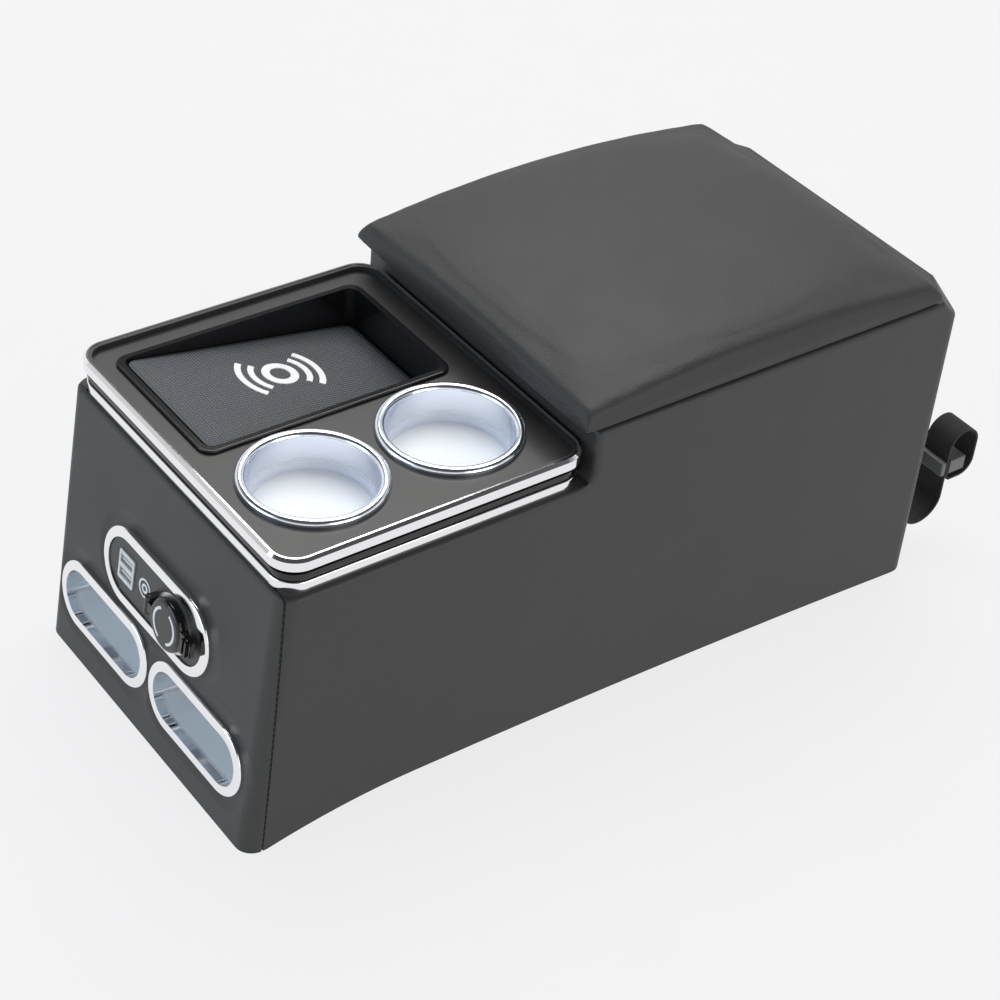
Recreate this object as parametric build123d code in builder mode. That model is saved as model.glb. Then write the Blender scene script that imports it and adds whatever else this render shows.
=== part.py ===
# Car centre armrest box: boards sewn into padded leather, a console panel with a charging
# tray and two cups in front, and a padded lid over a storage bin behind.
# Millimetres. +X points to the rear of the car, +Z up, the origin is under the middle.
import os
from math import atan2, cos, degrees, sin, sqrt

from build123d import *

os.makedirs("parts", exist_ok=True)

# Box
body_length = 473.0
body_width = 216.0
ledge_height = 166.0
step_height = 33.5
front_lean = 19.0
foot_length = 13.0
arch_rise = 10.5
arch_crest = 106.0
corner_radius = 10.0
edge_radius = 3.5
step_radius = 8.0
rear_ease_across = 30.0
rear_ease_along = 17.0
rear_ease_down = 17.0
cover_thickness = 3.0
board_thickness = 9.0
rear_board_thickness = 12.0
base_thickness = 6.0
base_clearance = 0.5
batten_size = 14.0
liner_thickness = 1.5
seam_depth = 0.6
seam_width = 1.0
seam_setback_top = 1.0
seam_setback_foot = 10.5

# Console panel and its edge frames
console_inset = 3.5
console_setback = 2.0
console_step_gap = 3.0
console_radius = 14.0
least_radius = 1.0
lower_trim_height = 6.0
gap_frame_height = 8.5
upper_trim_height = 7.0
upper_trim_overhang = 1.8
gap_frame_recess = 1.2
gap_bead_radius = 0.9
trim_chamfer = 1.6
trim_lip = 1.3
trim_wall = 2.6
panel_thickness = 2.2
panel_rim_width = 2.0
panel_rim_drop = 0.5
skirt_thickness = 2.0
skirt_depth = 8.0
skirt_inset = 2.0
seat_clearance = 0.3

# Cups
cup_bore_radius = 34.0
cup_rim_width = 6.0
cup_gap = 4.5
cup_end_margin = 10.25
cup_side_margin = 14.0
cup_wall = 2.0
cup_rim_height = 4.0
cup_depth = 23.0
cup_floor = 1.5
cup_mat_thickness = 1.0
cup_mat_margin = 1.5
cup_mat_clearance = 0.2

# Charging tray
tray_front_margin = 12.3
tray_rear_margin = 17.7
tray_side_margin = 14.5
cup_tray_gap = 2.5
tray_radius = 8.0
tray_rim_width = 4.0
tray_rim_height = 2.0
tray_wall = 1.8
tray_front_depth = 2.5
tray_rear_depth = 26.5
mat_thickness = 1.5
mat_clearance = 0.8
coil_radius = 21.0
coil_hole_radius = 9.0
coil_thickness = 1.8
charger_length = 74.0
charger_width = 56.0
charger_wall = 1.6
charger_board_thickness = 1.6

# Front end
front_fit = 0.3
bezel_height = 3.2
pocket_rim_height = 2.2
pocket_lift = 2.5
pocket_gap = 3.0
pocket_side_margin = 12.0
pocket_width = 42.0
pocket_rim = 5.8
pocket_wall = 1.6
pocket_depth = 40.0
power_gap = 5.75
power_length = 109.0
power_width = 47.0
power_rim = 6.0
power_flange = 2.2
power_flange_thickness = 1.2
power_plate_rise = 2.2
power_hole_margin = 4.0
usb_end_margin = 18.5
usb_width = 15.6
usb_tall = 18.5
usb_frame_thickness = 0.8
usb_slot_width = 12.4
usb_slot_tall = 5.2
usb_slot_pitch = 8.2
usb_wall = 1.1
usb_depth = 24.0
usb_slot_depth = 13.0
usb_tongue_thickness = 1.7
socket_end_margin = 27.5
socket_flange_radius = 17.0
socket_flange_thickness = 1.8
socket_outer_radius = 13.0
socket_bore_radius = 10.6
socket_depth = 42.0
socket_floor = 3.0
contact_radius = 3.0
contact_height = 5.0
cap_radius = 15.2
cap_thickness = 5.2
cap_edge = 2.6
cap_plug_clearance = 1.2
cap_plug_depth = 2.4
cap_tab_length = 9.5
cap_tab_width = 12.0
cap_tab_thickness = 3.2
cap_rib_count = 2
cap_rib_pitch = 3.4
cap_rib_width = 1.4
cap_rib_height = 1.2
cap_hinge_gap = 2.6
cap_hinge_rise = 3.0
cap_lug_radius = 2.3
cap_lug_length = 6.0
cap_arm_height = 3.4
cap_pin_radius = 0.9
cap_ear_thickness = 2.2
cap_ear_gap = 0.2

# Lid and its hinges
lid_overhang = 8.5
lid_rear_gap = 20.0
lid_side_gap = 1.0
lid_gap = 1.3
lid_radius = 10.0
lid_shoulder_radius = 6.0
lid_front_side = 11.0
lid_front_crown = 13.0
lid_rise_side = 16.0
lid_rise_crown = 22.0
lid_middle_side = 20.5
lid_middle_crown = 28.0
lid_fall_side = 18.5
lid_fall_crown = 26.0
lid_rear_side = 10.5
lid_rear_crown = 13.5
lid_rise_place = 35.0
lid_fall_place = 70.0
lid_margin = 2.0
lid_wrap = 4.0
lid_board_thickness = 5.0
lid_lining_thickness = 1.5
hinge_side_margin = 14.0
hinge_width = 40.0
hinge_setback = 2.6
hinge_rise = 1.6
knuckle_radius = 2.2
knuckle_gap = 0.2
hinge_pin_radius = 1.1
running_clearance = 0.05
leaf_thickness = 1.2
leaf_length = 24.0
hinge_screw_radius = 1.4
hinge_screw_head = 2.6
hinge_screw_length = 9.0
hinge_screw_pitch = 22.0
hinge_screw_place = 15.0
lid_screw_length = 5.5
bumper_radius = 3.3
bumper_side_margin = 16.0

# Rear strap
strap_margin = 10.0
webbing_width = 20.0
webbing_thickness = 1.4
webbing_gap = 0.4
strap_reach = 54.0
strap_run = 31.0
strap_low = 21.5
tail_top = 82.0
tail_middle = 64.0
tail_low = 48.0
tail_tuck = 3.0
tail_knee = 10.0
slider_low = 52.0
slider_tall = 10.0
slider_wall = 3.0
slider_bar = 13.0
slider_fit = 0.3
anchor_low = 38.0
anchor_high = 70.0
anchor_thickness = 1.5
anchor_width = 18.0
anchor_edge = 3.0
strap_screw_radius = 2.0
strap_screw_head = 4.0
strap_screw_head_height = 2.2
strap_screw_length = 12.0
strap_screw_inset = 8.0

# Places worked out from the sizes above
touch = 0.01
wall_top = ledge_height + step_height
half_width = body_width / 2
front_x = -(body_length + strap_reach) / 2
rear_x = front_x + body_length
cup_rim_radius = cup_bore_radius + cup_rim_width
cup_pitch = 2 * cup_rim_radius + cup_gap
console_length = cup_pitch + 2 * (cup_rim_radius + cup_end_margin)
console_width = body_width - 2 * console_inset
console_front = front_x + front_lean + console_setback
console_x = console_front + console_length / 2
step_x = console_front + console_length + console_step_gap
lean = atan2(front_lean, ledge_height)
wall = cover_thickness + board_thickness
rear_wall = cover_thickness + rear_board_thickness
inner_half = half_width - wall
base_low = arch_rise + cover_thickness + base_clearance
base_top = base_low + base_thickness
pocket_length = (body_width - pocket_gap) / 2 - pocket_side_margin
pocket_pitch = pocket_length + pocket_gap
pocket_height = base_top + pocket_lift + pocket_width / 2
power_height = pocket_height + (pocket_width + power_width) / 2 + power_gap
strap_side = strap_margin + webbing_width / 2 - half_width
hinge_side = inner_half - hinge_side_margin - hinge_width / 2
far = 2 * body_length
hinge_screw_z = wall_top + lid_gap - hinge_screw_place
rear_inner_x = rear_x - rear_wall
hinge_sides = (-hinge_side, hinge_side)
strap_screw_heights = (anchor_low + strap_screw_inset, anchor_high - strap_screw_inset)
body_screw_points = [
    (side + shift, hinge_screw_z)
    for side in hinge_sides
    for shift in (-hinge_screw_pitch / 2, hinge_screw_pitch / 2)
]
strap_screw_points = [(strap_side, height) for height in strap_screw_heights]
strap_stack = webbing_thickness + anchor_thickness


def front_face_x(z, inset=0.0):
    """X of the leaning front face at height z, drawn in by inset."""
    return front_x + front_lean * z / ledge_height + inset / cos(lean)


def front_plane(z):
    """Plane on the front face at height z: local x to the viewer's right, z outwards."""
    return Plane(
        origin=(front_face_x(z), 0, z),
        x_dir=(0, -1, 0),
        z_dir=(-cos(lean), 0, sin(lean)),
    )


def save(part, label):
    """Label one finished piece and write it."""
    part.label = label
    export_step(part, f"parts/{label}.step")


def body_form(inset, edge):
    """Closed form of the box drawn in by inset, its upper edges rounded by edge."""
    side = half_width - inset
    ledge = ledge_height - inset
    top = wall_top - inset
    rear = rear_x - inset
    step = step_x + inset
    front_foot = (front_x + foot_length, inset)
    rear_foot = (rear_x - foot_length, inset)
    crest = (front_x + arch_crest, arch_rise + inset)
    with BuildPart() as form:
        with BuildSketch(Plane.XZ) as outline:
            with BuildLine():
                Polyline(
                    front_foot,
                    (front_face_x(inset, inset), inset),
                    (front_face_x(ledge, inset), ledge),
                    (step, ledge),
                    (step, top),
                    (rear, top),
                    (rear, inset),
                    rear_foot,
                )
                TangentArc(crest, rear_foot, tangent=(1, 0))
                TangentArc(crest, front_foot, tangent=(-1, 0))
            make_face()
            fillet(outline.vertices().sort_by_distance((step, ledge, 0))[0], step_radius + inset)
        extrude(amount=side, both=True)
        uprights = form.edges().filter_by(
            lambda e: abs(abs(e.center().Y) - side) < touch
            and e.length > ledge_height / 2
            and (e.center().X < front_face_x(ledge, inset) or e.center().X > rear - touch)
        )
        fillet(uprights, corner_radius - inset)
        for flip in (-1, 1):
            ease = Plane(
                origin=(rear_x, flip * (half_width - rear_ease_across), wall_top),
                z_dir=(1 / rear_ease_along, flip / rear_ease_across, 1 / rear_ease_down),
            )
            split(bisect_by=ease.offset(-inset), keep=Keep.BOTTOM)
        if edge > 0:
            rims = form.edges().filter_by(
                lambda e: e.center().Z > ledge - touch
                and not (
                    e.center().Z < top - touch
                    and abs(e.center().Y) < touch
                    and e.center().X > step - 2 * step_radius
                )
            )
            fillet(rims, edge)
    return form.part


def slab(x_low, x_high, y_low, y_high, z_low, z_high):
    """Plain block between two corners."""
    with BuildPart() as block:
        with BuildSketch(Plane.XY.offset(z_low)):
            with Locations(((x_low + x_high) / 2, (y_low + y_high) / 2)):
                Rectangle(x_high - x_low, y_high - y_low)
        extrude(amount=z_high - z_low)
    return block.part


def leaning_block(z_low, z_high, inset_low, inset_high, half):
    """Block that follows the leaning front, between two insets from the front face."""
    with BuildPart() as block:
        with BuildSketch(Plane.XZ):
            with BuildLine():
                Polyline(
                    (front_face_x(z_low, inset_low), z_low),
                    (front_face_x(z_low, inset_high), z_low),
                    (front_face_x(z_high, inset_high), z_high),
                    (front_face_x(z_high, inset_low), z_high),
                    close=True,
                )
            make_face()
        extrude(amount=half, both=True)
    return block.part


def front_openings(margin):
    """The three oblong holes through the front, grown by margin, as one cutter."""
    with BuildPart() as cutter:
        for side in (-1, 1):
            with BuildSketch(front_plane(pocket_height).offset(-2 * wall)):
                with Locations((side * pocket_pitch / 2, 0)):
                    SlotOverall(
                        pocket_length - 2 * pocket_rim + 2 * (pocket_wall + margin),
                        pocket_width - 2 * pocket_rim + 2 * (pocket_wall + margin),
                    )
            extrude(amount=3 * wall)
        with BuildSketch(front_plane(power_height).offset(-2 * wall)):
            SlotOverall(
                power_length - 2 * (power_rim + power_hole_margin) + 2 * margin,
                power_width - 2 * (power_rim + power_hole_margin) + 2 * margin,
            )
        extrude(amount=3 * wall)
    return cutter.part


def console_frame(z_low, height, grow, width):
    """Rounded rectangular frame round the console, its outer outline grown by grow."""
    length = console_length + 2 * grow
    across = console_width + 2 * grow
    with BuildPart() as frame:
        with BuildSketch(Plane.XY.offset(z_low)):
            with Locations((console_x, 0)):
                RectangleRounded(length, across, max(console_radius + grow, least_radius))
                RectangleRounded(
                    length - 2 * width,
                    across - 2 * width,
                    max(console_radius + grow - width, least_radius),
                    mode=Mode.SUBTRACT,
                )
        extrude(amount=height)
    return frame.part


# Leather panels, cut from one padded skin at the sewn seams
inner_form = body_form(cover_thickness, 0)
mitre_turn = degrees(atan2(wall, rear_wall))
seam_foot_x = front_x + seam_setback_foot
seam_top_x = front_face_x(wall_top) + seam_setback_top

with BuildPart() as seam_lines:
    with BuildSketch(Plane.XZ):
        with BuildLine():
            Polyline(
                (seam_foot_x - seam_width / 2, 0),
                (seam_foot_x + seam_width / 2, 0),
                (seam_top_x + seam_width / 2, wall_top),
                (seam_top_x - seam_width / 2, wall_top),
                close=True,
            )
        make_face()
    extrude(amount=body_width, both=True)
    with BuildSketch():
        for flip in (-1, 1):
            with Locations(Location((rear_x, flip * half_width, 0), (0, 0, flip * mitre_turn))):
                Rectangle(4 * rear_wall, seam_width)
    extrude(amount=2 * wall_top, both=True)

with BuildPart() as seam_grooves:
    add(body_form(0, edge_radius))
    add(body_form(seam_depth, edge_radius - seam_depth), mode=Mode.SUBTRACT)
    add(seam_lines.part, mode=Mode.INTERSECT)

with BuildPart() as skin:
    add(body_form(0, edge_radius))
    add(inner_form, mode=Mode.SUBTRACT)
    # underside, console well and bin mouth
    add(
        slab(front_x + wall, rear_x - rear_wall, -inner_half, inner_half, -wall, base_top),
        mode=Mode.SUBTRACT,
    )
    add(
        slab(
            front_face_x(ledge_height) + wall,
            step_x,
            -inner_half,
            inner_half,
            ledge_height - wall,
            wall_top + wall,
        ),
        mode=Mode.SUBTRACT,
    )
    add(
        slab(
            step_x - cover_thickness,
            step_x + cover_thickness,
            -inner_half,
            inner_half,
            ledge_height - wall,
            ledge_height,
        ),
        mode=Mode.SUBTRACT,
    )
    add(
        slab(
            step_x + wall,
            rear_x - rear_wall,
            -inner_half,
            inner_half,
            ledge_height,
            wall_top + wall,
        ),
        mode=Mode.SUBTRACT,
    )
    # room for the corners of the console frames beside the step
    add(
        slab(
            console_front - seat_clearance,
            console_front + console_length + seat_clearance,
            -console_width / 2 - upper_trim_overhang - seat_clearance,
            console_width / 2 + upper_trim_overhang + seat_clearance,
            ledge_height,
            wall_top + wall,
        ),
        mode=Mode.SUBTRACT,
    )
    add(front_openings(front_fit), mode=Mode.SUBTRACT)
    add(seam_grooves.part, mode=Mode.SUBTRACT)

with BuildPart() as front_zone:
    with BuildSketch(Plane.XZ):
        with BuildLine():
            Polyline(
                (front_x - wall, 0),
                (seam_foot_x, 0),
                (seam_top_x, wall_top),
                (front_x - wall, wall_top),
                close=True,
            )
        make_face()
    extrude(amount=body_width, both=True)

with BuildPart() as rear_zone:
    with BuildSketch():
        with BuildLine():
            Polyline(
                (rear_inner_x, -inner_half),
                (rear_inner_x + 3 * rear_wall, -inner_half - 3 * wall),
                (rear_inner_x + 3 * rear_wall, inner_half + 3 * wall),
                (rear_inner_x, inner_half),
                close=True,
            )
        make_face()
    extrude(amount=2 * wall_top, both=True)

side_zone = slab(-far, far, -body_width, -inner_half, -wall, 2 * wall_top)

with BuildPart() as cover_front:
    add(skin.part)
    add(front_zone.part, mode=Mode.INTERSECT)
save(cover_front.part, "cover_front")

with BuildPart() as cover_rear:
    add(skin.part)
    add(rear_zone.part, mode=Mode.INTERSECT)
    with BuildSketch(Plane.YZ.offset(rear_x)):
        with Locations(*strap_screw_points):
            Circle(strap_screw_radius)
    extrude(amount=-cover_thickness, mode=Mode.SUBTRACT)
save(cover_rear.part, "cover_rear")

with BuildPart() as cover_side_left:
    add(skin.part)
    add(side_zone, mode=Mode.INTERSECT)
    add(front_zone.part, mode=Mode.SUBTRACT)
    add(rear_zone.part, mode=Mode.SUBTRACT)
save(cover_side_left.part, "cover_side_left")

with BuildPart() as cover_side_right:
    add(mirror(cover_side_left.part, about=Plane.XZ, mode=Mode.PRIVATE))
save(cover_side_right.part, "cover_side_right")

with BuildPart() as cover_step:
    add(skin.part)
    add(
        slab(
            step_x - wall,
            step_x + 2 * wall,
            -inner_half,
            inner_half,
            ledge_height,
            2 * wall_top,
        ),
        mode=Mode.INTERSECT,
    )
save(cover_step.part, "cover_step")

# Boards of the box
with BuildPart() as side_board_left:
    add(inner_form)
    add(
        slab(-far, far, -half_width, -inner_half, -wall, 2 * wall_top),
        mode=Mode.INTERSECT,
    )
save(side_board_left.part, "side_board_left")

with BuildPart() as side_board_right:
    add(mirror(side_board_left.part, about=Plane.XZ, mode=Mode.PRIVATE))
save(side_board_right.part, "side_board_right")

with BuildPart() as front_board:
    add(
        leaning_block(
            cover_thickness, ledge_height - cover_thickness, cover_thickness, wall, inner_half
        )
    )
    add(front_openings(front_fit), mode=Mode.SUBTRACT)
save(front_board.part, "front_board")

with BuildPart() as rear_board:
    add(
        slab(
            rear_inner_x,
            rear_x - cover_thickness,
            -inner_half,
            inner_half,
            cover_thickness,
            wall_top - cover_thickness,
        )
    )
    add(inner_form, mode=Mode.INTERSECT)
    with BuildSketch(Plane.YZ.offset(rear_inner_x)):
        with Locations(*body_screw_points):
            Circle(hinge_screw_radius)
    extrude(amount=hinge_screw_length - leaf_thickness - liner_thickness, mode=Mode.SUBTRACT)
    with BuildSketch(Plane.YZ.offset(rear_x + strap_stack)):
        with Locations(*strap_screw_points):
            Circle(strap_screw_radius)
    extrude(amount=-strap_screw_length, mode=Mode.SUBTRACT)
save(rear_board.part, "rear_board")

with BuildPart() as divider_board:
    add(
        slab(
            step_x + cover_thickness,
            step_x + wall,
            -inner_half,
            inner_half,
            base_top,
            wall_top - cover_thickness,
        )
    )
save(divider_board.part, "divider_board")

with BuildPart() as base_board:
    with BuildSketch(Plane.XZ):
        with BuildLine():
            Polyline(
                (front_face_x(base_low, wall), base_low),
                (rear_inner_x, base_low),
                (rear_inner_x, base_top),
                (front_face_x(base_top, wall), base_top),
                close=True,
            )
        make_face()
    extrude(amount=inner_half, both=True)
save(base_board.part, "base_board")

with BuildPart() as panel_batten:
    add(
        slab(
            step_x + cover_thickness - batten_size,
            step_x + cover_thickness,
            -inner_half,
            inner_half,
            ledge_height - batten_size,
            ledge_height,
        )
    )
save(panel_batten.part, "panel_batten")

# Lined tub of the storage bin
with BuildPart() as bin_liner:
    add(
        slab(
            step_x + wall,
            rear_inner_x,
            -inner_half,
            inner_half,
            base_top,
            wall_top - cover_thickness,
        )
    )
    add(
        slab(
            step_x + wall + liner_thickness,
            rear_inner_x - liner_thickness,
            -inner_half + liner_thickness,
            inner_half - liner_thickness,
            base_top + liner_thickness,
            wall_top,
        ),
        mode=Mode.SUBTRACT,
    )
    with BuildSketch(Plane.YZ.offset(rear_inner_x - liner_thickness)):
        with Locations(*body_screw_points):
            Circle(hinge_screw_radius)
    extrude(amount=liner_thickness, mode=Mode.SUBTRACT)
save(bin_liner.part, "bin_liner")

# Edge frames of the console panel
gap_low = ledge_height + lower_trim_height
trim_low = gap_low + gap_frame_height
rim_top = trim_low + upper_trim_height
panel_low = trim_low + trim_lip
panel_top = panel_low + panel_thickness
frame_width = console_width / 2 - inner_half

with BuildPart() as trim_lower:
    add(console_frame(ledge_height, lower_trim_height, 0, frame_width))
    fillet(
        trim_lower.faces().sort_by(Axis.Z)[-1].outer_wire().edges(),
        trim_chamfer / 2,
    )
save(trim_lower.part, "trim_lower")

with BuildPart() as gap_frame:
    add(console_frame(gap_low, gap_frame_height, -gap_frame_recess, frame_width - gap_frame_recess))
    add(
        console_frame(
            gap_low + gap_frame_height / 2 - gap_bead_radius,
            2 * gap_bead_radius,
            0,
            frame_width,
        )
    )
save(gap_frame.part, "gap_frame")

with BuildPart() as trim_upper:
    add(console_frame(trim_low, upper_trim_height, upper_trim_overhang, trim_wall))
    add(console_frame(trim_low, trim_lip, upper_trim_overhang, upper_trim_overhang + frame_width / 2))
    chamfer(trim_upper.faces().sort_by(Axis.Z)[-1].outer_wire().edges(), trim_chamfer)
save(trim_upper.part, "trim_upper")

# Moulded console panel with a rim, a skirt and its three openings
cup_y = cup_side_margin + cup_rim_radius - console_width / 2
tray_length = console_length - tray_front_margin - tray_rear_margin
tray_x = console_front + tray_front_margin + tray_length / 2
tray_low_y = cup_y + cup_rim_radius + cup_tray_gap
tray_width = console_width / 2 - tray_side_margin - tray_low_y
tray_y = tray_low_y + tray_width / 2
panel_grow = upper_trim_overhang - trim_wall
cup_places = (console_x - cup_pitch / 2, console_x + cup_pitch / 2)
tray_open_length = tray_length - 2 * tray_rim_width
tray_open_width = tray_width - 2 * tray_rim_width
cup_outer_radius = cup_bore_radius + cup_wall

with BuildPart() as console_panel:
    with BuildSketch(Plane.XY.offset(panel_low)):
        with Locations((console_x, 0)):
            RectangleRounded(
                console_length + 2 * panel_grow,
                console_width + 2 * panel_grow,
                console_radius + panel_grow,
            )
    extrude(amount=panel_thickness)
    add(
        console_frame(
            panel_low, rim_top - panel_rim_drop - panel_low, panel_grow, panel_rim_width
        )
    )
    add(
        console_frame(
            ledge_height - skirt_depth,
            panel_top - ledge_height + skirt_depth,
            -frame_width - skirt_inset,
            skirt_thickness,
        )
    )
    with BuildSketch(Plane.XY.offset(panel_low)):
        with Locations(*[(x, cup_y) for x in cup_places]):
            Circle(cup_outer_radius)
        with Locations((tray_x, tray_y)):
            RectangleRounded(
                tray_open_length + 2 * tray_wall, tray_open_width + 2 * tray_wall, tray_radius
            )
    extrude(amount=panel_thickness, mode=Mode.SUBTRACT)
save(console_panel.part, "console_panel")


# Cup inserts with a rounded bright rim, and their floor discs
def cup_insert(x):
    """Turned cup with a domed rim that sits on the panel."""
    rim_level = panel_top + cup_rim_height
    floor = rim_level - cup_depth
    dome = (cup_rim_radius - cup_bore_radius) / 2
    with BuildPart() as cup:
        with BuildSketch(Plane(origin=(x, cup_y, 0), x_dir=(1, 0, 0), z_dir=(0, -1, 0))):
            with BuildLine():
                Polyline(
                    (cup_bore_radius, rim_level - dome),
                    (cup_bore_radius, floor),
                    (cup_bore_radius - cup_mat_margin, floor),
                    (cup_bore_radius - cup_mat_margin, floor - cup_mat_thickness),
                    (0, floor - cup_mat_thickness),
                    (0, floor - cup_mat_thickness - cup_floor),
                    (cup_outer_radius, floor - cup_mat_thickness - cup_floor),
                    (cup_outer_radius, panel_top),
                    (cup_rim_radius, panel_top),
                    (cup_rim_radius, rim_level - dome),
                )
                ThreePointArc(
                    (cup_rim_radius, rim_level - dome),
                    (cup_rim_radius - dome, rim_level),
                    (cup_bore_radius, rim_level - dome),
                )
            make_face()
        revolve(axis=Axis((x, cup_y, 0), (0, 0, 1)))
    return cup.part


def cup_floor_disc(x):
    """Disc laid in the recess of a cup's floor."""
    floor = panel_top + cup_rim_height - cup_depth
    with BuildPart() as disc:
        with BuildSketch(Plane.XY.offset(floor)):
            with Locations((x, cup_y)):
                Circle(cup_bore_radius - cup_mat_margin - cup_mat_clearance)
        extrude(amount=-cup_mat_thickness)
    return disc.part


for name, x in zip(("front", "rear"), cup_places):
    save(cup_insert(x), f"cup_{name}")
    save(cup_floor_disc(x), f"cup_mat_{name}")

# Charging tray: a rim on the panel and a tub whose floor falls to the rear
slope = atan2(tray_rear_depth - tray_front_depth, tray_open_length)
tray_level = panel_top + tray_rim_height
floor_plane = Plane(
    origin=(tray_x, tray_y, tray_level - (tray_front_depth + tray_rear_depth) / 2),
    x_dir=(cos(slope), 0, -sin(slope)),
    z_dir=(sin(slope), 0, cos(slope)),
)

with BuildPart() as tray_hollow:
    with BuildSketch(Plane.XY.offset(tray_level)):
        with Locations((tray_x, tray_y)):
            RectangleRounded(tray_open_length, tray_open_width, tray_radius - tray_wall)
    extrude(amount=-2 * tray_rear_depth)
    split(bisect_by=floor_plane, keep=Keep.TOP)

with BuildPart() as charging_tray:
    with BuildSketch(Plane.XY.offset(panel_top)):
        with Locations((tray_x, tray_y)):
            RectangleRounded(tray_length, tray_width, tray_radius)
    extrude(amount=tray_rim_height)
    fillet(charging_tray.faces().sort_by(Axis.Z)[-1].edges(), tray_rim_height / 2)
    with BuildSketch(Plane.XY.offset(panel_top)):
        with Locations((tray_x, tray_y)):
            RectangleRounded(
                tray_open_length + 2 * tray_wall, tray_open_width + 2 * tray_wall, tray_radius
            )
    extrude(amount=-tray_rear_depth - 4 * tray_wall)
    split(bisect_by=floor_plane.offset(-tray_wall), keep=Keep.TOP)
    add(tray_hollow.part, mode=Mode.SUBTRACT)
save(charging_tray.part, "charging_tray")

with BuildPart() as charging_mat:
    with BuildSketch(floor_plane):
        RectangleRounded(
            tray_open_length / cos(slope) - 4 * mat_clearance,
            tray_open_width - 2 * mat_clearance,
            tray_radius - tray_wall,
        )
    extrude(amount=mat_thickness)
save(charging_mat.part, "charging_mat")

# Charger under the tray floor
coil_plane = floor_plane.offset(-tray_wall)

with BuildPart() as charger_coil:
    with BuildSketch(coil_plane):
        Circle(coil_radius)
        Circle(coil_hole_radius, mode=Mode.SUBTRACT)
    extrude(amount=-coil_thickness)
save(charger_coil.part, "charger_coil")

with BuildPart() as charger_board:
    with BuildSketch(coil_plane.offset(-coil_thickness)):
        RectangleRounded(
            charger_length - 4 * charger_wall, charger_width - 4 * charger_wall, charger_wall
        )
    extrude(amount=-charger_board_thickness)
save(charger_board.part, "charger_board")

with BuildPart() as charger_case:
    with BuildSketch(coil_plane):
        RectangleRounded(charger_length, charger_width, 2 * charger_wall)
    extrude(amount=-coil_thickness - charger_board_thickness - charger_wall)
    with BuildSketch(coil_plane):
        RectangleRounded(
            charger_length - 4 * charger_wall, charger_width - 4 * charger_wall, charger_wall
        )
    extrude(amount=-coil_thickness - charger_board_thickness, mode=Mode.SUBTRACT)
save(charger_case.part, "charger_case")

# Oblong pockets of the front end
pocket_plane = front_plane(pocket_height)


def pocket(side):
    """Bright oblong pocket: a rim on the leather and a blind cup behind it."""
    mouth_length = pocket_length - 2 * pocket_rim
    mouth_width = pocket_width - 2 * pocket_rim
    with BuildPart() as cup:
        with BuildSketch(pocket_plane):
            with Locations((side * pocket_pitch / 2, 0)):
                SlotOverall(pocket_length, pocket_width)
        extrude(amount=pocket_rim_height)
        fillet(
            cup.faces().sort_by(Axis(pocket_plane.origin, pocket_plane.z_dir))[-1].edges(),
            pocket_rim_height / 2,
        )
        with BuildSketch(pocket_plane):
            with Locations((side * pocket_pitch / 2, 0)):
                SlotOverall(mouth_length + 2 * pocket_wall, mouth_width + 2 * pocket_wall)
        extrude(amount=-pocket_depth)
        with BuildSketch(pocket_plane.offset(pocket_rim_height)):
            with Locations((side * pocket_pitch / 2, 0)):
                SlotOverall(mouth_length, mouth_width)
        extrude(amount=pocket_wall - pocket_depth - pocket_rim_height, mode=Mode.SUBTRACT)
    return cup.part


save(pocket(-1), "pocket_right")
save(pocket(1), "pocket_left")

# Power plate
power_plane = front_plane(power_height)
face_length = power_length - 2 * power_rim
face_width = power_width - 2 * power_rim
usb_place = usb_end_margin - face_length / 2
socket_place = face_length / 2 - socket_end_margin
socket_spot = (socket_place, 0)
usb_spot = (usb_place, 0)
plate_face = power_plane.offset(power_plate_rise)

with BuildPart() as power_bezel:
    with BuildSketch(power_plane):
        SlotOverall(power_length, power_width)
    extrude(amount=bezel_height)
    fillet(
        power_bezel.faces().sort_by(Axis(power_plane.origin, power_plane.z_dir))[-1].edges(),
        bezel_height / 2,
    )
    with BuildSketch(power_plane):
        SlotOverall(face_length, face_width)
    extrude(amount=bezel_height, mode=Mode.SUBTRACT)
    with BuildSketch(power_plane):
        SlotOverall(
            face_length + 2 * (power_flange + front_fit), face_width + 2 * (power_flange + front_fit)
        )
    extrude(amount=power_flange_thickness, mode=Mode.SUBTRACT)
save(power_bezel.part, "power_bezel")

with BuildPart() as power_plate:
    with BuildSketch(power_plane):
        SlotOverall(face_length + 2 * power_flange, face_width + 2 * power_flange)
    extrude(amount=power_flange_thickness)
    with BuildSketch(power_plane):
        SlotOverall(face_length - 2 * front_fit, face_width - 2 * front_fit)
    extrude(amount=power_plate_rise)
    with BuildSketch(power_plane):
        with Locations(socket_spot):
            Circle(socket_outer_radius)
        with Locations(usb_spot):
            Rectangle(usb_width - 2 * usb_wall, usb_tall - 2 * usb_wall)
    extrude(amount=power_plate_rise, mode=Mode.SUBTRACT)
save(power_plate.part, "power_plate")

usb_slots = [(usb_place, -usb_slot_pitch / 2), (usb_place, usb_slot_pitch / 2)]

with BuildPart() as usb_frame:
    with BuildSketch(plate_face):
        with Locations(usb_spot):
            RectangleRounded(usb_width, usb_tall, usb_wall)
        with Locations(*usb_slots):
            Rectangle(usb_slot_width, usb_slot_tall, mode=Mode.SUBTRACT)
    extrude(amount=usb_frame_thickness)
save(usb_frame.part, "usb_frame")

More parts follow.
